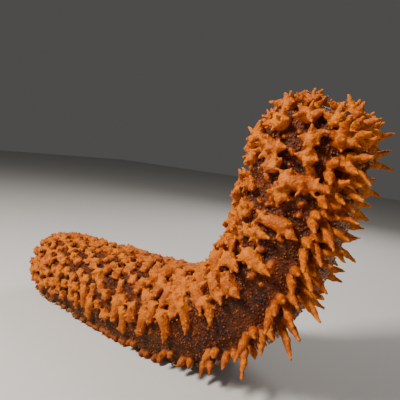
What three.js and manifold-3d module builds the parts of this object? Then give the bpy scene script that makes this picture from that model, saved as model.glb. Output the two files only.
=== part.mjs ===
// A pineapple sea cucumber at life size. The hind half lies on the floor on its flat sole, and the front
// half rears up. The body is a bent loaf: arched back, flat sole, blunt ends, a mouth on the underside of the
// front end and a vent at the tail. Pointed fleshy papillae stand on the back in groups joined at the root,
// and a fringe of longer ones runs along both margins of the sole.
// Units are millimetres. The body's path starts at the tail end and runs towards the head along +X.
import * as THREE from "three";
import { mergeVertices } from "three/addons/utils/BufferGeometryUtils.js";
import Module from "manifold-3d";

const wasm = await Module();
wasm.setup();

// Body
const BODY_LENGTH = 535;
const HALF_WIDTH = 48;
const BACK_HEIGHT = 46; // from the body's axis up to the back
const SOLE_DEPTH = 42; // from the axis down to the sole
const TAIL_CAP = 45; // length of each rounded end, and how blunt it is
const TAIL_BLUNTNESS = 2.3;
const HEAD_CAP = 45;
const HEAD_BLUNTNESS = 2.5;
const GIRTHS = [0.8, 0.93, 1.0, 1.0, 1.03, 0.98]; // share of the full width, tail to head, evenly spaced

// Pose, in millimetres along the body and in degrees
const REAR_FROM = 198;
const REAR_TO = 435;
const REAR_ANGLE = 80;
const HEAD_NOD = 3; // taken off again between REAR_TO and the head
const LEAN = -5; // roll of the reared half
const TURN_FROM = 200;
const TURN_ANGLE = 3; // the front turns to the animal's right
const TAIL_LIFT = 4;
const TAIL_LIFT_LENGTH = 110;
const SETTLED = 5; // the sole is flat on the floor where it would hang less than this above it
const SETTLED_BLEND = 16;

// The origin is on the sole this far from the tail end
const ORIGIN_FROM_TAIL = 170;

// Papillae of the back: rows across the body, groups in each row
const ROWS = 26;
const FIRST_ROW = 2;
const LAST_ROW = 2.5; // from the front end
const GROUPS_ACROSS = 7;
const FIELD_ANGLE = 84; // from the middle of the back to the field's edge on the hind body
const FIELD_ANGLE_FRONT = 108;
const TAIL_PAPILLA = { radius: 5.6, length: 9 };
const MID_PAPILLA = { radius: 6.8, length: 11 };
const HEAD_PAPILLA = { radius: 8, length: 18 };

// Papillae of the fringe along both margins of the sole
const FRINGE_ANGLE = 122;
const FRINGE_SPREAD = 7; // degrees that the second file of the fringe lies from the first
const FRINGE_STEP = 12;
const FRINGE_TAIL = { radius: 5, length: 9 };
const FRINGE_HEAD = { radius: 6.5, length: 24 };
const FRINGE_GROWS_FROM = 110;
const FRINGE_GROWS_TO = 290;
const FLOOR_CLEARANCE = 1;

// Mouth on the underside of the front end, and vent at the tail
const MOUTH_FROM_HEAD = 48;
const MOUTH_RADIUS = 20;
const MOUTH_DEPTH = 9;
const LIP_PAPILLAE = 14;
const TENTACLES = 20;
const TENTACLE_RADIUS = 2.3;
const VENT_RADIUS = 7;
const VENT_DEPTH = 6;

// Faceting of the solids
const SIDES = 24;
const RING_STEP = 15;
const PAPILLA_SIDES = 4;
const MOUTH_SIDES = 20;
const GAP = 0.3; // kept between two nodes that meet

// Nodes along the body: each starts before the row named
const LENGTHS = [
  { name: "tail_end", row: 0 },
  { name: "hind_body", row: 5 },
  { name: "mid_body", row: 9 },
  { name: "lower_fore_body", row: 13 },
  { name: "upper_fore_body", row: 17 },
  { name: "head_end", row: 21 },
];

const radians = THREE.MathUtils.degToRad;
const lerp = THREE.MathUtils.lerp;
const clamp = THREE.MathUtils.clamp;
const smooth = (t) => THREE.MathUtils.smoothstep(t, 0, 1);
const share = (s, from, to) => clamp((s - from) / (to - from), 0, 1);

// A repeatable scatter from -1 to 1 for papilla number (row, column) and channel
function scatter(row, column, channel) {
  const wave = Math.sin(row * 12.9898 + column * 78.233 + channel * 37.719) * 43758.5453;
  return 2 * (wave - Math.floor(wave)) - 1;
}

// Direction of the body's axis at s, and its roll
function headingAt(s) {
  const rearing = smooth(share(s, REAR_FROM, REAR_TO));
  const nod = HEAD_NOD * share(s, REAR_TO, BODY_LENGTH);
  const lift = TAIL_LIFT * (1 - share(s, 0, TAIL_LIFT_LENGTH));
  return {
    pitch: radians(rearing * REAR_ANGLE - nod - lift),
    yaw: radians(-TURN_ANGLE * smooth(share(s, TURN_FROM, BODY_LENGTH))),
    roll: radians(LEAN * rearing),
  };
}

// Path of the body's axis, one frame for each millimetre
function tracePath() {
  const frames = [];
  const position = new THREE.Vector3();
  for (let s = 0; s <= BODY_LENGTH; s += 1) {
    const { pitch, yaw, roll } = headingAt(s);
    const along = new THREE.Vector3(
      Math.cos(pitch) * Math.cos(yaw),
      Math.cos(pitch) * Math.sin(yaw),
      Math.sin(pitch),
    );
    const left = new THREE.Vector3(-Math.sin(yaw), Math.cos(yaw), 0);
    const back = new THREE.Vector3().crossVectors(along, left);
    left.applyAxisAngle(along, -roll);
    back.applyAxisAngle(along, -roll);
    frames.push({ position: position.clone(), along, left, back });
    position.add(along);
  }
  const origin = frames[ORIGIN_FROM_TAIL].position.clone();
  origin.z -= SOLE_DEPTH;
  for (const frame of frames) frame.position.sub(origin);
  return frames;
}

const PATH = tracePath();

function frameAt(s) {
  const at = clamp(s, 0, BODY_LENGTH);
  const low = Math.min(Math.floor(at), PATH.length - 2);
  const mix = (key) => PATH[low][key].clone().lerp(PATH[low + 1][key], at - low);
  return {
    position: mix("position"),
    along: mix("along").normalize(),
    left: mix("left").normalize(),
    back: mix("back").normalize(),
  };
}

// Size of the section at s: the girth profile, and the rounding of the two ends
function girthAt(s) {
  const at = clamp(s / BODY_LENGTH, 0, 1) * (GIRTHS.length - 1);
  const low = Math.min(Math.floor(at), GIRTHS.length - 2);
  const tail = 1 - share(s, 0, TAIL_CAP);
  const head = share(s, BODY_LENGTH - HEAD_CAP, BODY_LENGTH);
  const tailEnd = (1 - tail ** TAIL_BLUNTNESS) ** (1 / TAIL_BLUNTNESS);
  const headEnd = (1 - head ** HEAD_BLUNTNESS) ** (1 / HEAD_BLUNTNESS);
  return {
    girth: lerp(GIRTHS[low], GIRTHS[low + 1], at - low),
    end: Math.min(tailEnd, headEnd),
  };
}

// Height of the underside once it has settled on the floor
function settled(height) {
  if (height <= SETTLED) return Math.max(0, Math.min(height, 0));
  if (height >= SETTLED_BLEND) return height;
  const t = (height - SETTLED) / (SETTLED_BLEND - SETTLED);
  return SETTLED_BLEND * t ** 1.3;
}

// Point of the skin at s, at an angle from the middle of the back, positive to the animal's left.
// reach is 1 on the skin and 0 on the axis.
function bodyPoint(s, angle, reach = 1) {
  const { position, left, back } = frameAt(s);
  const { girth, end } = girthAt(s);
  const across = Math.sin(angle);
  const up = Math.cos(angle);
  const sideways = HALF_WIDTH * girth * Math.sign(across) * Math.abs(across) ** 0.85;
  const upwards =
    up >= 0
      ? BACK_HEIGHT * girth * up ** 0.9
      : -SOLE_DEPTH * Math.min(1, 1.12 * Math.abs(up) ** 0.55);
  const point = position
    .addScaledVector(left, sideways * end * reach)
    .addScaledVector(back, upwards * end * reach);
  if (up < 0 && s > TAIL_LIFT_LENGTH) point.z = settled(point.z);
  return point;
}

// Outward normal of the skin, from two short steps over it
function bodyNormal(s, angle) {
  const step = 1.5;
  const turn = 0.04;
  const alongSkin = bodyPoint(s + step, angle).sub(bodyPoint(s - step, angle));
  const roundSkin = bodyPoint(s, angle + turn).sub(bodyPoint(s, angle - turn));
  return new THREE.Vector3().crossVectors(alongSkin, roundSkin).normalize();
}

// Solids
function solidOf(geometry) {
  const bare = geometry.clone();
  bare.deleteAttribute("normal");
  bare.deleteAttribute("uv");
  const merged = mergeVertices(bare, 1e-4);
  return new wasm.Manifold(
    new wasm.Mesh({
      numProp: 3,
      vertProperties: new Float32Array(merged.attributes.position.array),
      triVerts: new Uint32Array(merged.index.array),
    }),
  );
}

function geometryOf(solid) {
  const mesh = solid.getMesh();
  const geometry = new THREE.BufferGeometry();
  geometry.setAttribute("position", new THREE.BufferAttribute(mesh.vertProperties, 3));
  geometry.setIndex(new THREE.BufferAttribute(mesh.triVerts, 1));
  geometry.computeVertexNormals();
  return geometry;
}

function largestBody(solid) {
  return solid.decompose().reduce((a, b) => (b.volume() > a.volume() ? b : a));
}

// Turn a geometry made along +Y to a direction and move it to a place
function placed(geometry, place, direction) {
  const up = new THREE.Vector3(0, 1, 0);
  geometry.applyQuaternion(new THREE.Quaternion().setFromUnitVectors(up, direction));
  geometry.translate(place.x, place.y, place.z);
  return geometry;
}

// Places along the body where the rings of one length go: closer together in the rounded ends
function ringPlaces(from, to) {
  const places = [];
  const count = Math.max(2, Math.round((to - from) / RING_STEP));
  for (let i = 0; i <= count; i += 1) {
    const t = i / count;
    let s = lerp(from, to, t);
    if (from < 1) s = lerp(from, to, t ** 1.7);
    if (to > BODY_LENGTH - 1) s = lerp(from, to, 1 - (1 - t) ** 1.7);
    places.push(s);
  }
  return places;
}

// One length of the bare body: a cylinder's rings laid on the body's sections
function bodyLength(from, to) {
  const places = ringPlaces(from, to);
  const geometry = new THREE.CylinderGeometry(1, 1, 1, SIDES, places.length - 1);
  const points = geometry.attributes.position;
  for (let i = 0; i < points.count; i += 1) {
    const ring = Math.round((0.5 + points.getY(i)) * (places.length - 1));
    const reach = Math.hypot(points.getX(i), points.getZ(i));
    const angle = Math.atan2(-points.getX(i), points.getZ(i));
    const point = bodyPoint(places[ring], angle, Math.min(1, reach));
    points.setXYZ(i, point.x, point.y, point.z);
  }
  return solidOf(geometry);
}

// A papilla: a cone with its root sunk under the skin
function papilla(root, direction, radius, length) {
  const sunk = 0.8 * radius;
  const geometry = new THREE.ConeGeometry(radius, length + sunk, PAPILLA_SIDES);
  geometry.translate(0, (length - sunk) / 2, 0);
  return solidOf(placed(geometry, root, direction));
}

// How much the skin at a place is pressed together by the bend, from 1 (not at all) down
function crowding(s, angle) {
  const step = 4;
  const skin = bodyPoint(s + step, angle).distanceTo(bodyPoint(s - step, angle));
  const axis = frameAt(s + step).position.distanceTo(frameAt(s - step).position);
  return clamp(skin / axis, 0.5, 1.05);
}

function rowPlace(row) {
  return lerp(FIRST_ROW, BODY_LENGTH - LAST_ROW, row / (ROWS - 1));
}

// Size of the back's papillae at s: small at the tail, long at the head
function papillaSize(s) {
  const t = s / BODY_LENGTH;
  const mid = smooth(share(t, 0.1, 0.5));
  const head = smooth(share(t, 0.55, 0.95));
  const mix = (key) =>
    lerp(lerp(TAIL_PAPILLA[key], MID_PAPILLA[key], mid), HEAD_PAPILLA[key], head);
  return { radius: mix("radius"), length: mix("length") };
}

// One group: tips in a line across the body on the middle of the back's length, in a star at the ends
function papillaGroup(s, angle, row, column) {
  const size = papillaSize(s);
  const pressed = crowding(s, angle);
  const star = Math.abs(s / BODY_LENGTH - 0.45) > 0.28;
  const count = scatter(row, column, 12) > 0.1 ? 2 : 3;
  const start = scatter(row, column, 1) * Math.PI;
  const cones = [];
  for (let i = 0; i < count; i += 1) {
    const spoke = star ? start + (i * 2 * Math.PI) / count : 0;
    const offset = star ? 0.75 * size.radius : (i - (count - 1) / 2) * 1.15 * size.radius;
    const ahead = star ? Math.cos(spoke) * offset * pressed : scatter(row, column, 4 + i) * 1.2;
    const aside = star ? Math.sin(spoke) * offset : offset;
    const { girth } = girthAt(s);
    const tipAngle = angle + aside / (HALF_WIDTH * girth);
    const normal = bodyNormal(s, angle);
    const roundSkin = new THREE.Vector3().crossVectors(normal, frameAt(s).along).normalize();
    const direction = normal
      .addScaledVector(roundSkin, (-0.42 * aside) / size.radius)
      .addScaledVector(frameAt(s).along, (0.42 * ahead) / size.radius + 0.1)
      .normalize();
    const long = size.length * (1 + 0.22 * scatter(row, column, 8 + i));
    cones.push(
      papilla(bodyPoint(s + ahead, tipAngle), direction, size.radius * (0.6 + 0.4 * pressed), long),
    );
  }
  return cones;
}

// All the groups of one row across the back
function papillaRow(row) {
  const s = rowPlace(row);
  const { girth, end } = girthAt(s);
  const field = lerp(FIELD_ANGLE, FIELD_ANGLE_FRONT, smooth(share(s, 300, 420)));
  const across = Math.max(3, Math.round(GROUPS_ACROSS * girth * end) - (row % 2));
  const cones = [];
  for (let column = 0; column < across; column += 1) {
    const t = across > 1 ? (2 * (column + 0.5)) / across - 1 : 0;
    const angle = radians(field * t) + 0.05 * scatter(row, column, 2);
    cones.push(...papillaGroup(s + 2.5 * scatter(row, column, 3), angle, row, column));
  }
  return cones;
}

// The fringe on both margins between two places along the body
function fringe(from, to) {
  const cones = [];
  const count = Math.floor((BODY_LENGTH - 24) / FRINGE_STEP);
  for (let i = 0; i <= count; i += 1) {
    const s = 16 + i * FRINGE_STEP;
    if (s < from || s >= to) continue;
    for (const side of [-1, 1]) {
      const grown = smooth(share(s, FRINGE_GROWS_FROM, FRINGE_GROWS_TO));
      const radius = lerp(FRINGE_TAIL.radius, FRINGE_HEAD.radius, grown);
      const length =
        lerp(FRINGE_TAIL.length, FRINGE_HEAD.length, grown) * (1 + 0.18 * scatter(i, side, 1));
      const file = i % 2 ? FRINGE_SPREAD : -FRINGE_SPREAD;
      let angle = side * radians(FRINGE_ANGLE + file * grown + 2 * scatter(i, side, 2));
      while (bodyPoint(s, angle).z < radius + FLOOR_CLEARANCE && Math.abs(angle) > 1.6) {
        angle -= 0.04 * side;
      }
      const root = bodyPoint(s, angle);
      const direction = bodyNormal(s, angle)
        .addScaledVector(frameAt(s).left, 0.5 * side)
        .addScaledVector(frameAt(s).along, 0.25 * scatter(i, side, 3))
        .normalize();
      while (root.z + direction.z * length < 2 * FLOOR_CLEARANCE && direction.z < 0.9) {
        direction.z += 0.08;
        direction.normalize();
      }
      cones.push(papilla(root, direction, radius, length));
    }
  }
  return cones;
}

// Frame of the mouth: its middle on the sole and the direction it faces
function mouthFrame() {
  const s = BODY_LENGTH - MOUTH_FROM_HEAD;
  const { left, along } = frameAt(s);
  return { centre: bodyPoint(s, Math.PI), facing: frameAt(s).back.negate(), left, along };
}

function mouthRecess() {
  const { centre, facing } = mouthFrame();
  const height = 30;
  const geometry = new THREE.CylinderGeometry(MOUTH_RADIUS, MOUTH_RADIUS - 3, height, MOUTH_SIDES);
  geometry.translate(0, height / 2 - MOUTH_DEPTH, 0);
  return solidOf(placed(geometry, centre, facing));
}

function lipPapillae() {
  const { centre, facing, left, along } = mouthFrame();
  const cones = [];
  for (let i = 0; i < LIP_PAPILLAE; i += 1) {
    const spoke = (i * 2 * Math.PI) / LIP_PAPILLAE;
    const outward = left
      .clone()
      .multiplyScalar(Math.cos(spoke))
      .addScaledVector(along, Math.sin(spoke));
    const root = centre.clone().addScaledVector(outward, MOUTH_RADIUS + 4.5);
    const direction = facing.clone().addScaledVector(outward, 0.2).normalize();
    cones.push(papilla(root, direction, 3.6, 6.5));
  }
  return cones;
}

// The drawn-in crown: a dish with a ring of short blunt tentacles round the mouth
function tentacleCrown() {
  const { centre, facing, left, along } = mouthFrame();
  const floor = centre.clone().addScaledVector(facing, -MOUTH_DEPTH + GAP);
  const width = MOUTH_RADIUS - 3.6;
  const outline = [
    [0, 0],
    [width, 0],
    [width, 1.2],
    [width - 2, 2.4],
    [7, 3],
    [4.5, 4.2],
    [2.5, 3.4],
    [0, 1.5],
  ].map(([x, y]) => new THREE.Vector2(x, y));
  const pieces = [solidOf(placed(new THREE.LatheGeometry(outline, MOUTH_SIDES), floor, facing))];
  for (let i = 0; i < TENTACLES; i += 1) {
    const spoke = (i * 2 * Math.PI) / TENTACLES;
    const ring = i % 2 ? 13 : 9;
    const outward = left
      .clone()
      .multiplyScalar(Math.cos(spoke))
      .addScaledVector(along, Math.sin(spoke));
    const geometry = new THREE.CylinderGeometry(TENTACLE_RADIUS, 1.3, 5.5, 5);
    geometry.translate(0, 2.75, 0);
    const root = floor.clone().addScaledVector(outward, ring).addScaledVector(facing, 1);
    const direction = facing.clone().addScaledVector(outward, 0.12).normalize();
    pieces.push(solidOf(placed(geometry, root, direction)));
  }
  return largestBody(wasm.Manifold.union(pieces));
}

function vent() {
  const { position, along } = frameAt(0);
  const height = 2 * VENT_DEPTH;
  const geometry = new THREE.ConeGeometry(VENT_RADIUS, height, 10);
  return solidOf(placed(geometry, position, along.clone()));
}

// Keep what lies ahead of the cut at s, or behind it
function trimmed(solid, s, ahead) {
  const { position, along } = frameAt(s);
  const normal = along.clone().multiplyScalar(ahead ? 1 : -1);
  return solid.trimByPlane(normal.toArray(), normal.dot(position));
}

// Place of the cut before a row
function cutBefore(row) {
  return (rowPlace(row - 1) + rowPlace(row)) / 2;
}

function bodySolid(index) {
  const first = index === 0;
  const last = index === LENGTHS.length - 1;
  const from = first ? 0.1 : cutBefore(LENGTHS[index].row);
  const to = last ? BODY_LENGTH - 0.1 : cutBefore(LENGTHS[index + 1].row);
  const lastRow = last ? ROWS : LENGTHS[index + 1].row;
  const overlap = 1;
  const pieces = [bodyLength(from - (first ? 0 : overlap), to + (last ? 0 : overlap))];
  for (let row = LENGTHS[index].row; row < lastRow; row += 1) pieces.push(...papillaRow(row));
  pieces.push(...fringe(from, to));
  if (last) pieces.push(...lipPapillae());
  let solid = wasm.Manifold.union(pieces);
  if (first) solid = solid.subtract(vent());
  if (last) solid = solid.subtract(mouthRecess());
  if (!first) solid = trimmed(solid, from + GAP / 2, true);
  if (!last) solid = trimmed(solid, to - GAP / 2, false);
  return largestBody(solid);
}

const group = new THREE.Group();
LENGTHS.forEach(({ name }, index) => {
  const skin = new THREE.MeshStandardMaterial({ color: 0xb8622a, roughness: 0.55, metalness: 0 });
  const mesh = new THREE.Mesh(geometryOf(bodySolid(index)), skin);
  mesh.name = name;
  group.add(mesh);
});
const dark = new THREE.MeshStandardMaterial({ color: 0x5a3520, roughness: 0.5, metalness: 0 });
const crown = new THREE.Mesh(geometryOf(tentacleCrown()), dark);
crown.name = "tentacle_crown";
group.add(crown);

export default group;
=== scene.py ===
"""A pineapple sea cucumber at life size, hind body on the floor and front end reared up.

The skin is one closed mesh: a swept body and several thousand rounded cones, the papillae, are
fused, and the points are drawn onto the smooth union of those forms. Warts, tube feet and tentacles
are meshes of their own. Sizes in the classes are millimetres, and every mesh is in metres.
"""

import logging
from dataclasses import dataclass, field
from enum import Enum
from functools import cached_property
from math import cos, pi, radians, sin, sqrt
from typing import NamedTuple

import bmesh
import bpy
import numpy as np
from bpy.types import Material, Mesh, Node, NodeSocket as Socket, NodeTree, Object
from mathutils import Matrix, Vector, noise
from mathutils.bvhtree import BVHTree

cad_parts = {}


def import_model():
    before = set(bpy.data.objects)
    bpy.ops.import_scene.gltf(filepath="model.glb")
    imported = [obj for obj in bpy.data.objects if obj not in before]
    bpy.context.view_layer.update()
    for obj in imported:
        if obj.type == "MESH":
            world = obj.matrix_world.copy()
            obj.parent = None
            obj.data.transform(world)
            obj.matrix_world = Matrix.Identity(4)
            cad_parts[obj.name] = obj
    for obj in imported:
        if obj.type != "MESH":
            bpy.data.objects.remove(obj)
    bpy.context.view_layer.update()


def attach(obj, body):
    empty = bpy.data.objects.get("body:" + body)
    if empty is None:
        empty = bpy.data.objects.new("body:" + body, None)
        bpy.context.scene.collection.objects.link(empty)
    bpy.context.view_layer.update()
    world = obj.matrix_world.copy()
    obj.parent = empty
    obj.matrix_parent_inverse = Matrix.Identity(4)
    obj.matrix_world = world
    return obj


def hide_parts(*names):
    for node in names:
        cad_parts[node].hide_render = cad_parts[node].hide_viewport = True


Array = np.ndarray
BMesh = bmesh.types.BMesh
Table = tuple[float, ...]
Colour = tuple[float, float, float, float]
Inputs = dict[str | int, object]

LOG = logging.getLogger("sea_cucumber")
MM = 0.001
UP = Vector((0, 0, 1))


def smooth_step(value: Array | float, low: float, high: float) -> Array | float:
    """Ease value from 0 at low to 1 at high."""
    t = np.clip((value - low) / (high - low), 0.0, 1.0)
    return t * t * (3.0 - 2.0 * t)


def unit(vectors: Array) -> Array:
    """Return the vectors at length 1."""
    return vectors / np.maximum(np.linalg.norm(vectors, axis=-1, keepdims=True), 1e-9)


def beside_axis(points: Array, foot: Array, axis: Array) -> tuple[Array, Array]:
    """Give how far points lie along an axis from its foot, and how far beside it."""
    offset = points - foot
    ahead = offset @ axis
    return ahead, np.linalg.norm(offset - ahead[:, None] * axis, axis=1)


def turned_to(way: Vector) -> Array:
    """Give the matrix that turns the upward direction to another."""
    return np.array(UP.rotation_difference(way).to_matrix())


class Group(Enum):
    """How the papillae of one group stand together."""

    STAR = "star"
    RIDGE = "ridge"


@dataclass(frozen=True)
class Body:
    """The bent loaf of the body: its axis, its sections and where it lies flat.

    A place on the skin is given by s, the distance along the axis from the tail end, and by an
    angle in radians from the middle of the back, positive to the animal's left.
    """

    length: float = 535.0
    half_width: float = 48.0
    back_height: float = 46.0
    sole_depth: float = 42.0
    tail_cap: float = 45.0
    tail_bluntness: float = 2.3
    head_cap: float = 45.0
    head_bluntness: float = 2.5
    girths: Table = (0.8, 0.93, 1.0, 1.0, 1.03, 0.98)
    rear_from: float = 198.0
    rear_to: float = 435.0
    rear_angle: float = 80.0
    head_nod: float = 3.0
    lean: float = -5.0
    turn_from: float = 200.0
    turn_angle: float = 3.0
    tail_lift: float = 4.0
    tail_lift_length: float = 110.0
    settled: float = 5.0
    settled_blend: float = 16.0
    origin_from_tail: int = 170

    @cached_property
    def axis(self) -> dict[str, Array]:
        """Follow the axis in steps of 1 mm.

        Returns:
            Arrays of position, along, left and back, one row for each millimetre.
        """
        s = np.arange(0.0, self.length + 1.0)
        rearing = smooth_step(s, self.rear_from, self.rear_to)
        nod = self.head_nod * np.clip((s - self.rear_to) / (self.length - self.rear_to), 0, 1)
        lift = self.tail_lift * (1 - np.clip(s / self.tail_lift_length, 0, 1))
        pitch = np.radians(rearing * self.rear_angle - nod - lift)
        yaw = np.radians(-self.turn_angle * smooth_step(s, self.turn_from, self.length))
        roll = np.radians(self.lean * rearing)[:, None]
        along = np.stack(
            [np.cos(pitch) * np.cos(yaw), np.cos(pitch) * np.sin(yaw), np.sin(pitch)], axis=1
        )
        level = np.stack([-np.sin(yaw), np.cos(yaw), np.zeros_like(s)], axis=1)
        upright = np.cross(along, level)
        position = np.vstack([np.zeros(3), np.cumsum(along, axis=0)[:-1]])
        origin = position[self.origin_from_tail] - (0.0, 0.0, self.sole_depth)
        return {
            "position": position - origin,
            "along": along,
            "left": level * np.cos(roll) - upright * np.sin(roll),
            "back": upright * np.cos(roll) + level * np.sin(roll),
        }

    def girth(self, s: Array) -> tuple[Array, Array]:
        """Give the girth's share of the full width at s, and the rounding of the two ends."""
        share = np.interp(s / self.length, np.linspace(0, 1, len(self.girths)), self.girths)
        tail = 1 - np.clip(s / self.tail_cap, 0, 1)
        head = np.clip((s - self.length + self.head_cap) / self.head_cap, 0, 1)
        tail_end = (1 - tail**self.tail_bluntness) ** (1 / self.tail_bluntness)
        head_end = (1 - head**self.head_bluntness) ** (1 / self.head_bluntness)
        return share, np.minimum(tail_end, head_end)

    def settle(self, height: Array) -> Array:
        """Lay the underside flat on the floor where it would hang only just above it."""
        t = np.clip((height - self.settled) / (self.settled_blend - self.settled), 0, 1)
        low = np.where(height <= self.settled, np.minimum(height, 0.0), self.settled_blend * t**1.3)
        return np.where(height >= self.settled_blend, height, low)

    def frame(self, s: Array | float) -> dict[str, Array]:
        """Interpolate the axis at s."""
        s = np.clip(np.atleast_1d(np.asarray(s, float)), 0, self.length)
        low = np.minimum(s.astype(int), len(self.axis["along"]) - 2)
        share = (s - low)[:, None]
        return {k: v[low] * (1 - share) + v[low + 1] * share for k, v in self.axis.items()}

    def point(self, s: Array | float, angle: Array | float) -> Array:
        """Give points of the smooth skin.

        Args:
            s: places along the axis.
            angle: angles from the middle of the back.

        Returns:
            The points, one row each.
        """
        s, angle = np.broadcast_arrays(np.atleast_1d(np.asarray(s, float)), angle)
        axis = self.frame(s)
        share, end = self.girth(s)
        across, up = np.sin(angle), np.cos(angle)
        sideways = self.half_width * share * np.sign(across) * np.abs(across) ** 0.85
        above = self.back_height * share * np.abs(up) ** 0.9
        below = -self.sole_depth * np.minimum(1, 1.12 * np.abs(up) ** 0.55)
        upwards = np.where(up >= 0, above, below)
        points = (
            axis["position"]
            + axis["left"] * (sideways * end)[:, None]
            + axis["back"] * (upwards * end)[:, None]
        )
        low = (up < 0) & (s > self.tail_lift_length)
        points[:, 2] = np.where(low, self.settle(points[:, 2]), points[:, 2])
        return points

    def normal(self, s: Array | float, angle: Array | float) -> Array:
        """Give the outward normals of the smooth skin at s and angle."""
        s, angle = np.broadcast_arrays(np.atleast_1d(np.asarray(s, float)), angle)
        along = self.point(s + 1.5, angle) - self.point(s - 1.5, angle)
        around = self.point(s, angle + 0.04) - self.point(s, angle - 0.04)
        return unit(np.cross(along, around))

    def squeeze(self, s: float, angle: float) -> float:
        """Give how far the bend draws the skin together, or apart, at a place."""
        half = 4.0
        low = min(max(s, self.tail_cap), self.length - self.head_cap)
        ahead, behind = self.point(low + half, angle)[0], self.point(low - half, angle)[0]
        return float(np.linalg.norm(ahead - behind)) / (2 * half)


class Cone(NamedTuple):
    """A rounded cone of a papilla: its ends, their radii, and the tone of its group."""

    start: Array
    end: Array
    root: float
    tip: float
    tone: float


@dataclass(frozen=True)
class Mouth:
    """The mouth's recess on the underside of the front end."""

    from_head: float = 48.0
    radius: float = 20.0
    depth: float = 9.0
    slope: float = 4.0
    reach: float = 12.0
    lip_height: float = 1.1
    lip_papillae: int = 18
    lip_length: float = 6.5
    lip_radius: float = 2.6

    def frame(self, body: Body) -> tuple[Array, ...]:
        """Give its middle on the sole, the way it faces, and the directions left and ahead."""
        s = body.length - self.from_head
        axis = body.frame(s)
        centre = body.point(s, pi)[0]
        return centre, -axis["back"][0], axis["left"][0], axis["along"][0]


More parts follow.
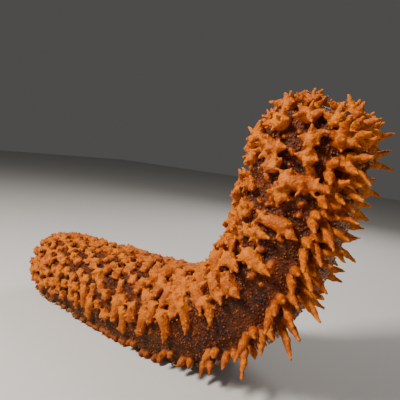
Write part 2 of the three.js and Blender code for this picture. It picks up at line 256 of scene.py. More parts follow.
@dataclass
class Papillae:
    """All the fleshy papillae: groups over the back, the fringe of both margins and the lips.

    Each table gives its values at the places along the body, from the tail to the head.
    """

    body: Body
    seed: int = 7
    places: Table = (0, 60, 130, 200, 280, 360, 440, 535)
    row_steps: Table = (11, 12, 13, 13.8, 16, 18.6, 19, 16)
    column_steps: Table = (12.5, 14, 19, 23.5, 27, 30, 29, 21)
    radii: Table = (4.3, 4.5, 4.9, 5.3, 6.3, 7.2, 7.3, 6.0)
    points: Table = (3.7, 3.7, 3.1, 2.9, 3.4, 4.4, 5.6, 9.0)
    outer_points: Table = (2.5, 2.5, 2.5, 3.0, 7.5, 12.5, 15.0, 13.0)
    scatters: Table = (1.2, 1.4, 1.6, 2.0, 2.8, 3.8, 4.4, 3.5)
    field_angles: Table = (106, 104, 102, 99, 88, 85, 94, 104)
    cap_angle: float = 76.0
    ridge_share: Table = (0.0, 0.15, 0.65, 0.9, 0.9, 0.85, 0.8, 0.4)
    star_lean: float = 57.0
    fringe_angle: float = 122.0
    fringe_spread: float = 11.0
    fringe_steps: Table = (13, 13, 13, 15, 15, 9.5, 7.2, 7.0)
    fringe_lengths: Table = (5, 5, 6, 8, 14, 30, 31, 25)
    fringe_radii: Table = (2.2, 2.2, 2.4, 3.2, 4.0, 4.2, 4.2, 4.2)
    fringe_tip: float = 1.1
    fillers: int = 1100
    filler_radii: Table = (1.2, 1.2, 1.4, 1.7, 2.5, 3.1, 3.2, 2.8)
    filler_sink: float = 0.25
    blunt: float = 0.8
    floor_clearance: float = 0.8
    cones: list[Cone] = field(default_factory=list)

    def __post_init__(self) -> None:
        """Start the seeded draw."""
        self.draw = np.random.default_rng(self.seed)

    def at(self, table: Table, s: float) -> float:
        """Read one of the tables at s."""
        return float(np.interp(s, self.places, table))

    def jitter(self, spread: float) -> float:
        """Draw a number between -spread and spread."""
        return float(self.draw.uniform(-spread, spread))

    def chance(self) -> float:
        """Draw a number between 0 and 1."""
        return float(self.draw.uniform())

    def local(self, s: float, angle: float) -> tuple[Array, ...]:
        """Give the point, the normal, and the directions ahead and around at a place."""
        point = self.body.point(s, angle)[0]
        normal = self.body.normal(s, angle)[0]
        around = unit(np.cross(self.body.frame(s)["along"][0], normal))
        return point, normal, np.cross(normal, around), around

    def finger(
        self, foot: Array, way: Array, length: float, root: float, tone: float,
        bend: Array | None = None, tip: float | None = None,
    ) -> None:
        """Grow one papilla, in two lengths where it bends.

        Args:
            foot: its place on or in the skin.
            way: its direction at the foot.
            length: its length from the foot to the tip.
            root: its radius at the foot.
            tone: the tone of its group, from 0 to 1.
            bend: a vector added to the direction of its outer half.
            tip: its radius at the tip.
        """
        tip = self.blunt if tip is None else tip
        if bend is None:
            self.cones.append(Cone(foot, foot + way * (length - tip), root, tip, tone))
            return
        middle = foot + way * length * 0.5
        end = middle + unit(way + bend) * (length * 0.5 - tip)
        waist = root * 0.72 + tip * 0.2
        self.cones.append(Cone(foot, middle, root, waist, tone))
        self.cones.append(Cone(middle, end, waist, tip, tone))

    def star(self, s: float, angle: float, size: float) -> None:
        """Grow a star: a rounded mound with pointed nubs leaning out of it all round."""
        point, normal, ahead, around = self.local(s, angle)
        root = self.at(self.radii, s) * size * 1.1
        nub = self.at(self.points, s) * size
        tone = self.chance()
        turn = self.jitter(pi)
        crown = point + normal * root * 0.4
        self.cones.append(Cone(point - normal, crown, root, root * 0.94, tone))
        count = int(self.draw.integers(4, 6))
        for i in range(count):
            spoke = turn + (i + self.jitter(0.2)) * 2 * pi / count
            side = ahead * cos(spoke) + around * sin(spoke)
            lean = radians(self.star_lean + self.jitter(14))
            way = unit(normal * cos(lean) + side * sin(lean))
            long = root + nub * (1 + self.jitter(0.3))
            self.finger(crown, way, long, root * 0.6, tone, normal * self.jitter(0.3))
        upright = unit(normal + ahead * self.jitter(0.5) + around * self.jitter(0.5))
        self.finger(crown, upright, root + nub * 0.9, root * 0.58, tone)

    def ridge(self, s: float, angle: float, size: float, width: float) -> None:
        """Grow a lumpy ridge across the body, with nubs along it and a longer point at its end.

        Args:
            s: place of its middle along the body.
            angle: angle of its middle.
            size: share of the usual size.
            width: its length across the body in millimetres.
        """
        root = self.at(self.radii, s) * size
        nub = self.at(self.points, s) * size
        tone = self.chance()
        slant = self.jitter(0.45)
        half = max(width / 2 - (root + nub) * 0.8, root * 0.4)
        turn = half / self.body.half_width
        count = max(2, round(half / root * 1.1) + 1)
        outward = 1 if angle >= 0 else -1
        turned = 1 if self.chance() < 0.5 else -1
        last = None
        for i in range(count):
            t = 2 * i / (count - 1) - 1
            point, normal, ahead, around = self.local(s + slant * t * half, angle + turn * t)
            around = -around
            ball = root * (0.98 - 0.06 * abs(t) + self.jitter(0.16))
            crown = point + normal * ball * (0.4 + self.jitter(0.14)) + ahead * self.jitter(1.0)
            if last is not None:
                self.cones.append(Cone(last[0], crown, last[1], ball, tone))
            last = (crown, ball)
            turned = -turned
            side = unit(ahead * turned + around * self.jitter(0.6))
            way = unit(normal * (0.7 + self.jitter(0.3)) + side)
            self.finger(crown, way, ball + nub * (1 + self.jitter(0.3)), ball * 0.64, tone)
            forward = self.jitter(0.3) - 0.4 * turned
            way = unit(normal + ahead * forward + around * self.jitter(0.4))
            self.finger(crown, way, ball + nub * (0.8 + self.jitter(0.3)), ball * 0.58, tone)
            if abs(t) < 0.99:
                continue
            for fan in (-0.9, 0.9):
                side = unit(around * t + ahead * (fan + self.jitter(0.3)))
                way = unit(normal * (0.55 + self.jitter(0.2)) + side)
                self.finger(crown, way, ball + nub * (0.9 + self.jitter(0.3)), ball * 0.56, tone)
            if t * outward > 0:
                way = unit(normal * 0.55 + around * t + ahead * self.jitter(0.4))
                long = ball + self.at(self.outer_points, s) * (1 + self.jitter(0.25))
                self.finger(crown, way, long, ball * 0.7, tone, around * t * 0.15)

    def rows(self) -> list[float]:
        """Space the rows over the skin's profile, so that they also cover the two ends."""
        body = self.body
        s = np.arange(0.3, body.length - 0.2, 0.1)
        rise = body.back_height * body.girth(s)[1]
        arc = np.concatenate([[0], np.cumsum(np.hypot(np.diff(s), np.diff(rise)))])
        places = []
        reached = 3.0
        while reached < arc[-1] - 3.0:
            places.append(float(np.interp(reached, arc, s)))
            reached += self.at(self.row_steps, places[-1])
        return places

    def angles(self, s: float, step: float, shift: float) -> list[float]:
        """Space the groups of a row over the skin, shifted by a share of their step."""
        limit = radians(self.at(self.field_angles, s) + self.cap_angle * smooth_step(s, 500, 526))
        angles = np.linspace(-limit, limit, 81)
        sides = np.diff(self.body.point(s, angles), axis=0)
        arc = np.concatenate([[0], np.cumsum(np.linalg.norm(sides, axis=1))])
        count = max(1, round(arc[-1] / step))
        places = (np.arange(count) + 0.5 + shift) * arc[-1] / count
        return [float(angle) for angle in np.interp(places[places < arc[-1]], arc, angles)]

    def back(self) -> None:
        """Cover the back and upper flanks with rows of stars and ridges."""
        body = self.body
        for row, s in enumerate(self.rows()):
            near_end = body.girth(np.array([s]))[1][0]
            step, loose = self.at(self.column_steps, s), self.at(self.scatters, s)
            for angle in self.angles(s, step, 0.25 if row % 2 else -0.25):
                place = float(np.clip(s + self.jitter(loose), 0.8, body.length - 0.8))
                turned = angle + self.jitter(loose) / body.half_width
                squeeze = self.body.squeeze(place, turned)
                if self.chance() > squeeze + 0.3:
                    continue
                size = (1 + self.jitter(0.14)) * (0.8 + 0.2 * near_end)
                size *= 0.5 + 0.5 * min(squeeze, 1.0)
                ridged = near_end > 0.8 and self.chance() < self.at(self.ridge_share, s)
                kind = Group.RIDGE if ridged else Group.STAR
                if kind is Group.RIDGE:
                    self.ridge(place, turned, size, step * (0.96 + self.jitter(0.14)))
                else:
                    self.star(place, turned, size)

    def fringe(self) -> None:
        """Set pairs and triplets of long fingers along both margins of the sole."""
        for side in (-1, 1):
            s = 14.0
            file = 0
            while s < self.body.length - 7:
                grown = float(smooth_step(s, 110, 290))
                spread = self.fringe_spread * grown * (file % 3 - 1)
                angle = radians(self.fringe_angle + spread + self.jitter(2))
                self.fringe_group(s + self.jitter(1.5), angle, side)
                s += self.at(self.fringe_steps, s)
                file += 1

    def fringe_group(self, s: float, angle: float, side: int) -> None:
        """Grow a pair or a triplet of the fringe.

        Args:
            s: its place along the body.
            angle: its angle, without the side's sign.
            side: 1 on the animal's left, -1 on its right.
        """
        count = 3 if self.chance() < 0.3 else 2
        length = self.at(self.fringe_lengths, s)
        root = self.at(self.fringe_radii, s)
        tone = self.chance()
        lowest = root + self.floor_clearance
        while self.body.point(s, side * angle)[0][2] < lowest and angle > 1.6:
            angle -= 0.04
        for i in range(count):
            place = s + (i - (count - 1) / 2) * root * 1.5
            point, normal, ahead, _ = self.local(place, side * angle)
            left = self.body.frame(place)["left"][0] * side
            spread = 0.5 - 0.45 * float(smooth_step(s, 250, 330))
            fan = 0.3 * (i - (count - 1) / 2) + self.jitter(0.15)
            way = unit(normal + left * spread + ahead * fan)
            long = length * (1 + self.jitter(0.2)) * (1.0 if i == 0 else 0.82)
            for _ in range(12):
                if point[2] + way[2] * long > self.floor_clearance + self.blunt:
                    break
                way = unit(way + (0, 0, 0.1))
            bend = ahead * self.jitter(0.2) + normal * self.jitter(0.15)
            if point[2] < 30:
                bend = np.array([0, 0, 0.15])
            self.finger(point, way, long, root, tone, bend, self.fringe_tip)

    def fill(self) -> None:
        """Scatter small single papillae between the groups."""
        for _ in range(self.fillers):
            s = float(self.draw.uniform(6, self.body.length - 6))
            limit = radians(self.at(self.field_angles, s) + 6)
            point, normal, ahead, around = self.local(s, self.jitter(limit))
            root = self.at(self.filler_radii, s) * (1 + self.jitter(0.35))
            way = unit(normal + ahead * self.jitter(0.6) + around * self.jitter(0.6))
            foot = point - normal * root * self.filler_sink
            self.finger(foot, way, root * 1.8, root, self.chance() * 0.5)

    def lips(self, mouth: Mouth) -> None:
        """Set a ring of short papillae round the mouth."""
        centre, facing, left, along = mouth.frame(self.body)
        for i in range(mouth.lip_papillae):
            spoke = (i + self.jitter(0.2)) * 2 * pi / mouth.lip_papillae
            outward = left * cos(spoke) + along * sin(spoke)
            foot = centre + outward * (mouth.radius + 4.5 + self.jitter(1)) - facing * 0.5
            way = unit(facing + outward * 0.25)
            self.finger(foot, way, mouth.lip_length + self.jitter(1), mouth.lip_radius, 0.4)

    def grow(self, mouth: Mouth) -> list[Cone]:
        """Grow every papilla, with the lips round the mouth, and give all the cones."""
        self.back()
        self.fringe()
        self.fill()
        self.lips(mouth)
        return self.cones


def points_of(form: BMesh) -> Array:
    """Read the points of a bmesh."""
    return np.array([vertex.co for vertex in form.verts])


def read(items: bpy.types.bpy_prop_collection, name: str, kind: type, width: int) -> Array:
    """Read one property of all the points or edges of a mesh."""
    flat = np.empty(len(items) * width, kind)
    items.foreach_get(name, flat)
    return flat.reshape(-1, width)


def store(mesh: Mesh, name: str, values: Array) -> None:
    """Store one number for each point of the mesh."""
    layer = mesh.attributes.new(name, "FLOAT", "POINT")
    layer.data.foreach_set("value", values.astype(np.float32))


def link(name: str, data: bpy.types.ID) -> Object:
    """Put a mesh, a lamp or a camera into the scene, and shade a mesh smoothly."""
    if isinstance(data, Mesh):
        data.polygons.foreach_set("use_smooth", [True] * len(data.polygons))
    thing = bpy.data.objects.new(name, data)
    bpy.context.scene.collection.objects.link(thing)
    return thing


def copied(name: str, form: BMesh, count: int) -> tuple[Mesh, Array, list[int]]:
    """Fill a mesh with copies of a shape, one after the other, by doubling it.

    Args:
        name: the mesh's name.
        form: the shape, which is used up.
        count: how many copies are wanted.

    Returns:
        The mesh, the points of one copy, and the number of the point at each of its corners.
    """
    mesh = bpy.data.meshes.new(name)
    form.to_mesh(mesh)
    form.clear()
    form.from_mesh(mesh)
    points = points_of(form)
    corners = [corner.vertex_index for corner in mesh.loops]
    wanted = len(points) * count
    while len(form.verts) < wanted:
        bmesh.ops.duplicate(form, geom=form.verts[:] + form.edges[:] + form.faces[:])
    bmesh.ops.delete(form, geom=form.verts[wanted:], context="VERTS")
    form.to_mesh(mesh)
    form.free()
    return mesh, points, corners


class Field:
    """Signed distance to the smooth union of the body and the papillae."""

    margin: float = 10.0
    far: float = 50.0
    seen: float = 20.0

    def __init__(self, base: BMesh, cones: list[Cone]) -> None:
        """Keep the body as a search tree."""
        self.tree = BVHTree.FromBMesh(base)
        self.cones = cones

    def base(self, points: Array) -> tuple[Array, Array]:
        """Give the signed distances of points to the bare body, and the unit gradients."""
        distance = np.empty(len(points))
        gradient = np.empty_like(points)
        for i, point in enumerate(points):
            near, normal, _, far = self.tree.find_nearest(Vector(point))
            away = Vector(point) - near
            inside = away.dot(normal) < 0
            distance[i] = -far if inside else far
            gradient[i] = normal if far < 1.0 else (away / -far if inside else away / far)
        return distance, gradient

    def sweep(
        self, points: Array, blend: float, web: float, bare: tuple[Array, Array] | None = None
    ) -> dict[str, Array]:
        """Measure the distance to the smooth union of body and cones.

        Args:
            points: places in millimetres.
            blend: how far two papillae flow into each other.
            web: how far a papilla flows into the skin.
            bare: the distance to the bare body and its direction, where they are known.

        Returns:
            Arrays: distance and gradient of the union, rise above the bare skin, share of flesh,
            distance and tone of the nearest papilla, and reach from 0 at its root to 1 at its tip.
        """
        skin, skin_way = self.base(points) if bare is None else bare
        key = points[:, 0] + points[:, 2]
        order = np.argsort(key)
        key = key[order]
        flesh = np.full(len(points), self.far)
        flesh_way = np.tile((0.0, 0.0, 1.0), (len(points), 1))
        nearest = np.full(len(points), self.far)
        tone = np.full(len(points), 0.5)
        reach = np.zeros(len(points))
        for start, end, root, tip, shade in self.cones:
            wide = root + self.margin
            low, high = np.minimum(start, end) - wide, np.maximum(start, end) + wide
            first, last = np.searchsorted(key, (low[0] + low[2], high[0] + high[2]))
            near = order[first:last]
            near = near[np.all((points[near] > low) & (points[near] < high), axis=1)]
            if not len(near):
                continue
            long = max(float(np.linalg.norm(end - start)), 1e-6)
            axis = (end - start) / long
            ahead, beside = beside_axis(points[near], start, axis)
            taper = np.clip((root - tip) / long, -0.95, 0.95)
            t = np.clip(ahead - beside * taper / sqrt(1 - taper * taper), 0, long)
            away = points[near] - (start + t[:, None] * axis)
            far = np.linalg.norm(away, axis=1)
            gap = far - (root + (tip - root) * t / long)
            way = away / np.maximum(far, 1e-6)[:, None]
            mix = np.clip(0.5 + 0.5 * (flesh[near] - gap) / blend, 0, 1)
            flesh_way[near] = flesh_way[near] * (1 - mix)[:, None] + way * mix[:, None]
            flesh[near] = flesh[near] * (1 - mix) + gap * mix - blend * mix * (1 - mix)
            closer = gap < nearest[near]
            tone[near[closer]] = shade
            reach[near[closer]] = (t / long)[closer]
            nearest[near] = np.minimum(nearest[near], gap)
        mix = np.clip(0.5 + 0.5 * (skin - flesh) / web, 0, 1)
        return {
            "distance": skin * (1 - mix) + flesh * mix - web * mix * (1 - mix),
            "gradient": unit(skin_way * (1 - mix)[:, None] + flesh_way * mix[:, None]),
            "rise": skin,
            "tone": tone,
            "reach": reach,
            "flesh": mix,
            "near": np.minimum(nearest, self.seen),
        }


@dataclass
class Skin:
    """The animal's skin with its papillae, one closed mesh."""

    body: Body
    mouth: Mouth
    cones: list[Cone]
    around: int = 96
    lengthwise: int = 230
    voxel: float = 1.75
    quick_voxel: float = 2.8
    thinnest: float = 1.2
    most_triangles: int = 190000
    blend: float = 1.4
    web: float = 2.6
    fold: float = 0.9
    vent_radius: float = 9.0
    vent_depth: float = 5.0

    def folds(self, s: Array, angle: Array) -> Array:
        """Give the height of the skin's folds: on the flanks, inside the bend and on the sole."""
        arc = angle * self.body.half_width
        turned = np.abs(angle)
        wander = 3.0 * np.sin(s / 23.0) + 2.0 * np.sin(s / 9.0 + 1.3)
        lengthways = np.sin((arc + wander) / 2.0) * 0.6 + np.sin((arc - wander) / 3.3 + 2) * 0.5
        flank = smooth_step(turned, 1.35, 1.65) * (1 - smooth_step(turned, 2.0, 2.25))
        pinch = smooth_step(s, 190, 240) * (1 - smooth_step(s, 400, 440))
        across = np.sin(s / 2.6 + 1.4 * np.sin(arc / 11.0)) * (1 - smooth_step(turned, 0.9, 1.4))
        sole = smooth_step(turned, 2.3, 2.6) * smooth_step(s, 300, 330)
        sole_folds = 0.4 * np.sin(s / 2.1 + np.sin(arc / 6.0))
        return self.fold * (lengthways * flank + across * pinch + sole_folds * sole)

    def base(self) -> BMesh:
        """Lay a sphere's rings on the body's sections, and give the bare body in millimetres."""
        form = bmesh.new()
        bmesh.ops.create_uvsphere(
            form, u_segments=self.around, v_segments=self.lengthwise, radius=1.0
        )
        places = points_of(form)
        s = self.body.length * (places[:, 2] + 1) / 2
        angle = np.arctan2(places[:, 0], places[:, 1])
        normals = self.body.normal(np.clip(s, 2, self.body.length - 2), angle)
        points = self.body.point(s, angle) + normals * self.folds(s, angle)[:, None]
        floor = (np.abs(angle) > 1.7) & (s > 20)
        points[:, 2] = np.where(floor, np.maximum(points[:, 2], 0.0), points[:, 2])
        for vertex, point in zip(form.verts, self.sink(points)):
            vertex.co = point
        bmesh.ops.recalc_face_normals(form, faces=form.faces)
        return form

    def sink(self, points: Array) -> Array:
        """Press the mouth's recess, with its raised rim, and the vent into the body's points."""
        mouth = self.mouth
        centre, facing, _, _ = mouth.frame(self.body)
        depth, beside = beside_axis(points, centre, facing)
        edge = 1 - smooth_step(beside, mouth.radius - mouth.slope, mouth.radius + 1.5)
        rim = np.exp(-(((beside - mouth.radius - 3) / 2.6) ** 2))
        push = -mouth.depth * edge + mouth.lip_height * rim
        points = points + np.where(np.abs(depth) < mouth.reach, push, 0.0)[:, None] * facing
        tail = self.body.frame(0.0)
        ahead = tail["along"][0]
        depth, beside = beside_axis(points, tail["position"][0], ahead)
        dip = self.vent_depth * (1 - smooth_step(beside, 1.0, self.vent_radius))
        return points + np.where(depth < mouth.reach, dip, 0.0)[:, None] * ahead

    def block(self, base: BMesh) -> Object:
        """Join the bare body with a stretched ball for each cone, and fuse them by voxels."""
        balls = bmesh.new()
        bmesh.ops.create_icosphere(balls, subdivisions=2, radius=1.0)
        mesh, ball, _ = copied("skin_block", balls, len(self.cones))
        outer = (ball[:, 2] > -0.01)[:, None]
        placed = []
        for start, end, root, tip, _ in self.cones:
            sized = ball * np.where(outer, max(tip, self.thinnest), root)
            turn = turned_to(Vector(end) - Vector(start))
            placed.append(sized @ turn.T + np.where(outer, end, start))
        mesh.vertices.foreach_set("co", np.concatenate(placed).ravel())
        form = base.copy()
        form.from_mesh(mesh)
        bmesh.ops.scale(form, vec=(MM,) * 3, verts=form.verts)
        form.to_mesh(mesh)
        form.free()
        fused = link("skin_block", mesh)
        modifier = fused.modifiers.new("fuse", "REMESH")
        modifier.mode = "VOXEL"
        modifier.voxel_size = self.voxel * MM
        return fused

    def thinned(self, fused: Object) -> Mesh:
        """Apply the fusing, and thin the mesh where it has more triangles than a piece may have."""
        for _ in range(2):
            graph = bpy.context.evaluated_depsgraph_get()
            mesh = bpy.data.meshes.new_from_object(fused.evaluated_get(graph))
            fused.modifiers.clear()
            fused.data = mesh
            triangles = len(mesh.loops) - 2 * len(mesh.polygons)
            LOG.info("fused skin: %d triangles", triangles)
            if triangles <= self.most_triangles:
                break
            modifier = fused.modifiers.new("thin", "DECIMATE")
            modifier.ratio = self.most_triangles / triangles
        bpy.data.objects.remove(fused)
        mesh.name = "skin"
        return mesh

    def build(self) -> tuple[Object, Field]:
        """Make the skin.

        Returns:
            The skin's object, and the field that it was drawn onto.
        """
        base = self.base()
        shape = Field(base, self.cones)
        mesh = self.thinned(self.block(base))
        base.free()
        points = read(mesh.vertices, "co", float, 3) / MM
        edges = read(mesh.edges, "vertices", int, 2)
        bare = shape.base(points)
        for relax in (0.0, 0.4, 0.0):
            moved = points
            if relax:
                moved = points + (self.middles(points, edges) - points) * relax
            bare = (bare[0] + np.sum((moved - points) * bare[1], axis=1), bare[1])
            found = shape.sweep(moved, self.blend, self.web, bare)
            points = moved - found["gradient"] * np.clip(found["distance"], -3, 3)[:, None]
            bare = (bare[0] + np.sum((points - moved) * bare[1], axis=1), bare[1])
        points = points + found["gradient"] * self.grain(points)[:, None]
        points[:, 2] = np.maximum(points[:, 2], 0.0)
        mesh.vertices.foreach_set("co", (points * MM).ravel())
        for name in ("rise", "tone", "reach", "flesh", "near"):
            store(mesh, name, found[name])
        mesh.update()
        return link("skin", mesh), shape

    def middles(self, points: Array, edges: Array) -> Array:
        """Give for each point the middle of its neighbours."""
        total = np.zeros_like(points)
        for a, b in ((0, 1), (1, 0)):
            np.add.at(total, edges[:, a], points[edges[:, b]])
        return total / np.maximum(np.bincount(edges.ravel(), minlength=len(points)), 1)[:, None]

    def grain(self, points: Array) -> Array:
        """Give a slight unevenness of the flesh, in millimetres."""
        places = [Vector(point) for point in points]
        return np.array([0.8 * noise.noise(p / 5.5) + 0.4 * noise.noise(p / 2.4) for p in places])


class Nodes:
    """A short hand for building a node tree."""

    def __init__(self, tree: NodeTree) -> None:
        """Work in this tree."""
        self.tree = tree

    def feed(self, node: Node, inputs: Inputs) -> None:
        """Set a node's inputs to values, or link them to sockets, by name or number."""
        for name, value in inputs.items():
            if isinstance(value, Socket):
                self.tree.links.new(value, node.inputs[name])
            else:
                node.inputs[name].default_value = value

    def add(self, kind: str, inputs: Inputs | None = None, **settings) -> Node:
        """Add a node.

        Args:
            kind: the node's type name, without the first word that all share.
            inputs: socket names or numbers, each with a value or a socket to link.
            settings: the node's own properties.

        Returns:
            The node.
        """
        node = self.tree.nodes.new("ShaderNode" + kind)
        for name, value in settings.items():
            setattr(node, name, value)
        self.feed(node, inputs or {})
        return node

    def math(self, operation: str, *values: object, clamp: bool = False) -> Socket:
        """Add a Math node and give its output."""
        inputs = dict(enumerate(values))
        return self.add("Math", inputs, operation=operation, use_clamp=clamp).outputs[0]

    def times(self, first: object, second: object) -> Socket:
        """Multiply two numbers."""
        return self.math("MULTIPLY", first, second)

    def plus(self, first: object, second: object) -> Socket:
        """Add two numbers."""
        return self.math("ADD", first, second)

    def mix(self, factor: object, first: object, second: object) -> Socket:
        """Mix two colours and give the result."""
        return self.add("Mix", {0: factor, 6: first, 7: second}, data_type="RGBA").outputs[2]

    def ease(self, value: object, low: float, high: float, most: float = 1.0) -> Socket:
        """Map value smoothly from 0 at low to the most at high."""
        inputs = {"Value": value, "From Min": low, "From Max": high, "To Max": most}
        return self.add("MapRange", inputs, interpolation_type="SMOOTHSTEP").outputs["Result"]

    def noise(self, place: Socket, scale: float, detail: float) -> Socket:
        """Give a noise between 0 and 1."""
        inputs = {"Vector": place, "Scale": scale, "Detail": detail}
        return self.add("TexNoise", inputs).outputs["Fac"]

    def attribute(self, name: str) -> Socket:
        """Read a number stored on the mesh."""
        return self.add("Attribute", attribute_name=name).outputs["Fac"]


def grain_group() -> NodeTree:
    """Build the granular skin pattern that the finishes share.

    Returns:
        A group with inputs Position and Scale, and outputs Height and Spots.
    """
    tree = bpy.data.node_groups.new("skin_grain", "ShaderNodeTree")
    for name, way, kind in (
        ("Position", "INPUT", "Vector"), ("Scale", "INPUT", "Float"),
        ("Height", "OUTPUT", "Float"), ("Spots", "OUTPUT", "Float"),
    ):
        tree.interface.new_socket(name, in_out=way, socket_type="NodeSocket" + kind)
    n = Nodes(tree)
    inlet = tree.nodes.new("NodeGroupInput")
    place, scale = inlet.outputs["Position"], inlet.outputs["Scale"]
    warp = n.add("TexNoise", {"Vector": place, "Scale": 300.0, "Detail": 2.0}).outputs["Color"]
    moved = n.add("VectorMath", {0: warp, 1: (0.0016,) * 3}, operation="MULTIPLY").outputs[0]
    warped = n.add("VectorMath", {0: place, 1: moved}, operation="ADD").outputs[0]
    inputs = {"Vector": warped, "Scale": scale}
    cells = n.add("TexVoronoi", inputs, feature="SMOOTH_F1")
    cells.inputs["Smoothness"].default_value = 0.35
    bead = n.ease(cells.outputs["Distance"], 0.75, 0.15, 0.75)
    height = n.plus(bead, n.times(n.noise(place, 900.0, 3.0), 0.35))
    pick = n.add("TexVoronoi", inputs).outputs
    lucky = n.ease(n.add("SeparateColor", {"Color": pick["Color"]}).outputs[0], 0.45, 0.75)
    spots = n.times(n.ease(pick["Distance"], 0.5, 0.2), lucky)
    n.feed(tree.nodes.new("NodeGroupOutput"), {"Height": height, "Spots": spots})
    return tree


@dataclass(frozen=True)
class Finish:
    """A soft granular skin of two mixed tones, for warts, tube feet and tentacles."""

    name: str
    dark: Colour
    light: Colour
    roughness: float = 0.35
    unevenness: float = 0.2
    grain_scale: float = 700.0
    mottle_scale: float = 160.0
    mottle_detail: float = 4.0
    bump: float = 0.4
    bump_depth: float = 0.0006
    specular: float = 0.4

    def material(self, grain: NodeTree) -> Material:
        """Build the material.

        Args:
            grain: the shared granular pattern.

        Returns:
            The material.
        """
        material = bpy.data.materials.new(self.name)
        material.use_nodes = True
        n = Nodes(material.node_tree)
        place = n.add("TexCoord").outputs["Object"]
        inputs = {"Position": place, "Scale": self.grain_scale}
        pattern = n.add("Group", inputs, node_tree=grain).outputs
        mottle = n.noise(place, self.mottle_scale, self.mottle_detail)
        inputs = self.looks(n, place, pattern, mottle)
        relief = {"Height": inputs.pop("Relief"), "Strength": self.bump}
        relief["Distance"] = self.bump_depth
        inputs["Normal"] = n.add("Bump", relief).outputs["Normal"]
        inputs["Roughness"] = n.plus(n.times(mottle, self.unevenness), self.roughness)
        inputs["Specular IOR Level"] = self.specular
        n.feed(material.node_tree.nodes["Principled BSDF"], inputs)
        return material

    def looks(self, n: Nodes, place: Socket, pattern: Inputs, mottle: Socket) -> Inputs:
        """Mix the two tones, and give the shader's inputs and the height of the relief."""
        tone = n.times(n.attribute("tone"), 0.75)
        share = n.math("ADD", tone, n.times(mottle, 0.35), clamp=True)
        return {"Base Color": n.mix(share, self.dark, self.light), "Relief": pattern["Height"]}


@dataclass(frozen=True)
class FleshFinish(Finish):
    """Wet leathery skin: rust orange papillae on dark red-brown skin."""

    name: str = "flesh"
    dark: Colour = (0.43, 0.084, 0.0, 1)
    light: Colour = (0.58, 0.135, 0.0, 1)
    tip: Colour = (0.68, 0.19, 0.008, 1)
    # Deep red-brown for the papillae's mottle and the lumps beside them, and also painted shade in
    # their grain's hollows, at their roots and near the floor.
    red_brown_and_shade: Colour = (0.13, 0.018, 0.0, 1)
    skin: Colour = (0.018, 0.004, 0.001, 1)
    skin_warm: Colour = (0.08, 0.017, 0.001, 1)
    spot: Colour = (0.24, 0.05, 0.002, 1)
    olive: Colour = (0.06, 0.024, 0.003, 1)
    roughness: float = 0.46
    unevenness: float = 0.25
    grain_scale: float = 420.0
    mottle_scale: float = 190.0
    mottle_detail: float = 5.0
    bump: float = 0.8
    bump_depth: float = 0.0013
    specular: float = 0.22
    subsurface: float = 0.06

    def looks(self, n: Nodes, place: Socket, pattern: Inputs, mottle: Socket) -> Inputs:
        """Mix the colour of the bare skin, of the papillae and of the edge between them, with
        painted shade on the papillae.
        """
        rise, reach, near = (n.attribute(name) for name in ("rise", "reach", "near"))
        height = n.add("SeparateXYZ", {"Vector": place}).outputs["Z"]
        ground = n.mix(n.ease(n.noise(place, 38.0, 4.0), 0.35, 0.7), self.skin, self.skin_warm)
        lumps = n.times(n.ease(mottle, 0.42, 0.62), n.ease(near, 9.0, 3.0, 0.8))
        ground = n.mix(lumps, ground, self.red_brown_and_shade)
        ground = n.mix(n.ease(height, 0.05, 0.0, 0.7), ground, self.olive)
        ground = n.mix(n.times(pattern["Spots"], 0.9), ground, self.spot)
        body = n.mix(n.ease(n.attribute("tone"), 0.0, 1.0), self.dark, self.light)
        body = n.mix(n.ease(mottle, 0.4, 0.75, 0.45), body, self.red_brown_and_shade)
        # Painted shade: the papillae darken in the hollows of their grain.
        body = n.mix(n.ease(pattern["Height"], 0.55, 0.25, 0.4), body, self.red_brown_and_shade)
        body = n.mix(n.ease(reach, 0.5, 1.0, 0.6), body, self.tip)
        # Painted shade: the papillae darken towards their roots, in the hollows between them.
        body = n.mix(n.ease(rise, 0.4, 3.6), self.red_brown_and_shade, body)
        # Painted shade: the papillae darken within a few centimetres of the floor.
        body = n.mix(n.ease(height, 0.03, 0.0, 0.75), body, self.red_brown_and_shade)
        edge = n.plus(rise, n.times(n.math("SUBTRACT", mottle, 0.5), 3.0))
        cover = n.times(n.ease(edge, 0.6, 2.8), n.ease(n.attribute("flesh"), 0.15, 0.75))
        relief = n.times(pattern["Height"], n.math("SUBTRACT", 1.0, n.times(cover, 0.45)))
        return {
            "Base Color": n.mix(cover, ground, body),
            "Relief": n.plus(relief, n.times(mottle, 0.35)),
            "Subsurface Weight": self.subsurface,
            "Subsurface Radius": (0.006, 0.002, 0.0008),
            "Subsurface Scale": 0.6,
        }


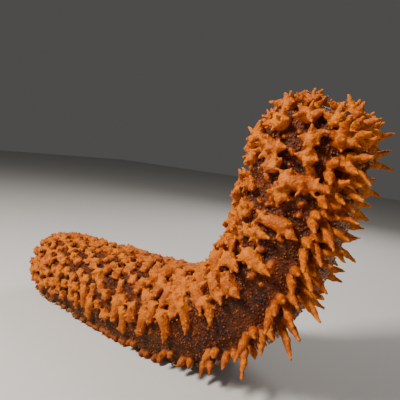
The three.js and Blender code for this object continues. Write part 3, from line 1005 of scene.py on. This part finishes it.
@dataclass
class Coat:
    """A mesh of many small copies on the skin, with a bake map that gives each a patch.

    A kind of coat makes one of them in shape, and lays them out in lay: for each its origin, the
    matrix that turns it, its tone from 0 to 1, and its origin's s and angle.
    """

    body: Body
    mouth: Mouth
    field: Field
    name: str = ""
    finish: Finish | None = None
    seed: int = 0
    patch: float = 0.0015
    edge: float = 0.02

    def __post_init__(self) -> None:
        """Start the seeded draw, and the list of copies."""
        self.draw = np.random.default_rng(self.seed)
        self.copies: list[tuple[Array, Array, float, float, float]] = []

    def build(self, grain: NodeTree) -> Object:
        """Copy the shape to every place, give it its bake map and dress it.

        Args:
            grain: the shared granular pattern.

        Returns:
            The coat's object.
        """
        self.lay()
        roots, turns, tones, s, angles = (np.array(column) for column in zip(*self.copies))
        mesh, shape, corners = copied(self.name, self.shape(), len(roots))
        points = np.einsum("kij,vj->kvi", turns, shape) + roots[:, None, :]
        mesh.vertices.foreach_set("co", (points * MM).ravel())
        store(mesh, "tone", np.repeat(tones, len(shape)))
        spots = np.stack([s / self.body.length, (angles + pi) / (2 * pi)], axis=1)
        flat = shape[:, :2] + 0.3 * shape[:, 2:]
        flat = (flat / np.abs(flat).max() * self.patch)[corners]
        laid = (self.edge + (1 - 2 * self.edge) * spots)[:, None, :] + flat[None, :, :]
        mesh.uv_layers.new(name="OFBake").data.foreach_set("uv", laid.ravel())
        mesh.update()
        mesh.materials.append(self.finish.material(grain))
        return link(self.name, mesh)


@dataclass
class Warts(Coat):
    """Small round warts on the bare skin between the papillae."""

    name: str = "warts"
    finish: Finish = Finish("wart", (0.045, 0.01, 0.001, 1), (0.26, 0.05, 0.002, 1))
    seed: int = 21
    count: int = 5200
    smallest: float = 0.55
    largest: float = 1.35
    blend: float = 1.8
    web: float = 3.6

    def lay(self) -> None:
        """Scatter the warts where the skin is bare."""
        s = self.draw.uniform(3, self.body.length - 3, self.count)
        angle = self.draw.uniform(-2.25, 2.25, self.count)
        points = self.body.point(s, angle)
        normals = self.body.normal(s, angle)
        found = self.field.sweep(points, self.blend, self.web)
        points = points - found["gradient"] * np.clip(found["distance"], -4, 4)[:, None]
        sizes = self.draw.uniform(self.smallest, self.largest, self.count)
        tones = self.draw.uniform(0, 1, self.count)
        for i in np.flatnonzero((found["flesh"] <= 0.6) & (points[:, 2] >= sizes)):
            root = points[i] + normals[i] * sizes[i] * 0.2
            self.copies.append((root, np.eye(3) * sizes[i], tones[i], s[i], angle[i]))

    def shape(self) -> BMesh:
        """Make one wart."""
        form = bmesh.new()
        bmesh.ops.create_icosphere(form, subdivisions=1, radius=1.0)
        return form


@dataclass
class TubeFeet(Coat):
    """The crowded tube feet of the sole, each a short stalk with a sucker."""

    name: str = "tube_feet"
    finish: Finish = Finish("tube_foot", (0.3, 0.1, 0.05, 1), (0.62, 0.3, 0.16, 1))
    seed: int = 5
    step: float = 5.3
    length: float = 4.2
    radius: float = 1.15
    columns: int = 8
    sole_width: float = 46.0
    sole_angle: float = 2.3
    first: float = 18.0
    last: float = 14.0
    floor_clearance: float = 0.6

    def lay(self) -> None:
        """Set the feet in staggered rows over the sole, where there is room above the floor."""
        rows = int((self.body.length - self.first - self.last) / self.step)
        for row in range(rows):
            for side in (-1, 1):
                for column in range(self.columns):
                    arc = (column + 0.5 * (row % 2) + 0.3) * self.step
                    angle = pi - (arc + self.draw.uniform(-1.5, 1.5)) / self.sole_width
                    if angle >= self.sole_angle:
                        self.set_foot(self.first + row * self.step, side * angle)

    def set_foot(self, s: float, angle: float) -> None:
        """Set one foot near a place, unless the mouth or the floor is in its way."""
        s += self.draw.uniform(-2.0, 2.0)
        point, normal = self.body.point(s, angle)[0], self.body.normal(s, angle)[0]
        if np.linalg.norm(point - self.mouth.frame(self.body)[0]) < self.mouth.radius + 9:
            return
        way = unit(normal + self.draw.uniform(-0.25, 0.25, 3))
        long = self.length * self.draw.uniform(0.7, 1.2)
        if point[2] + min(0.0, way[2]) * long < self.floor_clearance:
            return
        stretch = turned_to(Vector(way)) @ np.diag((1.0, 1.0, long / self.length))
        root = point - normal * 0.8
        self.copies.append((root, stretch, self.draw.uniform(0, 1), s, angle))

    def shape(self) -> BMesh:
        """Make one foot: a tapering stalk that widens to its sucker."""
        form = bmesh.new()
        for low, high, depth, middle in (
            (1.15, 0.7, self.length, self.length / 2), (0.75, 1.25, 1.1, self.length + 0.3)
        ):
            bmesh.ops.create_cone(
                form, cap_ends=True, segments=7, radius1=self.radius * low,
                radius2=self.radius * high, depth=depth, matrix=Matrix.Translation((0, 0, middle)),
            )
        return form


@dataclass
class Tentacles(Coat):
    """The ring of shield-shaped tentacles drawn in round the mouth."""

    name: str = "tentacles"
    finish: Finish = Finish("tentacle", (0.05, 0.016, 0.006, 1), (0.34, 0.13, 0.045, 1))
    seed: int = 3
    count: int = 20
    rings: Table = (7.2, 11.6)
    lift: float = 0.8

    def lay(self) -> None:
        """Set the tentacles in two rings on the floor of the mouth's recess."""
        centre, facing, left, along = self.mouth.frame(self.body)
        s = self.body.length - self.mouth.from_head
        floor = centre - facing * (self.mouth.depth - 0.2)
        for i in range(self.count):
            spoke = (i + self.draw.uniform(-0.15, 0.15)) * 2 * pi / self.count
            outward = left * cos(spoke) + along * sin(spoke)
            root = floor + outward * self.rings[i % 2] + facing * self.lift
            turn = turned_to(Vector(facing + outward * 0.25)) * self.draw.uniform(0.9, 1.12)
            self.copies.append((root, turn, self.draw.uniform(0.2, 0.9), s, pi))

    def shape(self) -> BMesh:
        """Make one tentacle: a short stalk that carries a shield of seven knobs."""
        form = bmesh.new()
        bmesh.ops.create_cone(
            form, cap_ends=True, segments=8, radius1=1.6, radius2=1.0, depth=4.0,
            matrix=Matrix.Translation((0, 0, 2.0)),
        )
        for lobe in range(7):
            turned = lobe * pi / 3
            out, height = (1.4, 4.0) if lobe < 6 else (0.0, 4.3)
            place = (cos(turned) * out, sin(turned) * out, height)
            bmesh.ops.create_icosphere(
                form, subdivisions=1, radius=1.0, matrix=Matrix.Translation(place)
            )
        return form


@dataclass(frozen=True)
class Viewpoint:
    """The photograph's viewing angle."""

    place: Table = (299.6, -341.3, 221.1)
    azimuth: float = 32.4
    elevation: float = 6.9
    roll: float = 6.8
    focal_pixels: float = 372.0
    frame_pixels: float = 400.0
    sensor: float = 36.0

    def create(self) -> None:
        """Make the camera and give it to the scene."""
        data = bpy.data.cameras.new("camera")
        data.sensor_width = self.sensor
        data.lens = self.sensor * self.focal_pixels / self.frame_pixels
        data.clip_start = 0.01
        camera = link("camera", data)
        camera.matrix_world = Matrix.Translation(Vector(self.place) * MM)
        for turn, axis in ((self.azimuth, "Z"), (90 - self.elevation, "X"), (self.roll, "Z")):
            camera.matrix_world @= Matrix.Rotation(radians(turn), 4, axis)
        bpy.context.scene.camera = camera


@dataclass(frozen=True)
class Studio:
    """A plain pale floor and soft lights."""

    floor_colour: Colour = (0.62, 0.6, 0.57, 1)
    sky_colour: Colour = (0.8, 0.79, 0.77, 1)
    sky_strength: float = 0.1
    target: Table = (0.1, 0.0, 0.12)

    def build(self) -> None:
        """Make the floor, the sky and the lights."""
        form = bmesh.new()
        bmesh.ops.create_grid(form, x_segments=4, y_segments=4, size=4.0)
        bmesh.ops.translate(form, vec=(0, 0, -0.0004), verts=form.verts)
        mesh = bpy.data.meshes.new("floor")
        form.to_mesh(mesh)
        form.free()
        floor = link("floor", mesh)
        material = bpy.data.materials.new("pale_floor")
        world = bpy.data.worlds.new("studio")
        for owner, name, inputs in (
            (material, "Principled BSDF", {"Base Color": self.floor_colour, "Roughness": 0.9}),
            (world, "Background", {"Color": self.sky_colour, "Strength": self.sky_strength}),
        ):
            owner.use_nodes = True
            Nodes(owner.node_tree).feed(owner.node_tree.nodes[name], inputs)
        mesh.materials.append(material)
        bpy.context.scene.world = world
        self.light("key", (-0.3, -0.8, 0.95), 0.25, 26.0, (1.0, 0.96, 0.9))
        self.light("fill", (0.9, -0.5, 0.6), 0.8, 1.8, (0.95, 0.97, 1.0))
        self.light("rim", (0.0, 0.9, 0.8), 0.6, 6.0, (1.0, 0.98, 0.95))

    def light(self, name: str, place: Table, size: float, power: float, colour: Table) -> None:
        """Hang one soft square light that looks at the animal."""
        data = bpy.data.lights.new(name, "AREA")
        data.size, data.energy, data.color = size, power, colour
        lamp = link(name, data)
        lamp.location = place
        way = Vector(self.target) - Vector(place)
        lamp.rotation_euler = way.to_track_quat("-Z", "Y").to_euler()


def main() -> None:
    """Build the animal and its studio, piece by piece."""
    logging.basicConfig(level=logging.INFO, format="%(name)s: %(message)s")
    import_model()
    body = Body()
    mouth = Mouth()
    cones = Papillae(body).grow(mouth)
    LOG.info("papillae: %d cones", len(cones))
    grain = grain_group()
    skin, shape = Skin(body, mouth, cones).build()
    skin.data.materials.append(FleshFinish().material(grain))
    warts, feet, tentacles = (
        kind(body, mouth, shape).build(grain) for kind in (Warts, TubeFeet, Tentacles)
    )
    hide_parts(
        "tail_end", "hind_body", "mid_body", "lower_fore_body", "upper_fore_body", "head_end"
    )
    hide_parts("tentacle_crown")
    for piece, slot in ((skin, "skin"), (warts, "skin"), (feet, "skin"), (tentacles, "mouth")):
        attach(piece, "root")
        LOG.info("%s: %d faces", piece.name, len(piece.data.polygons))
    Viewpoint().create()
    Studio().build()


if __name__ == "__main__":
    main()
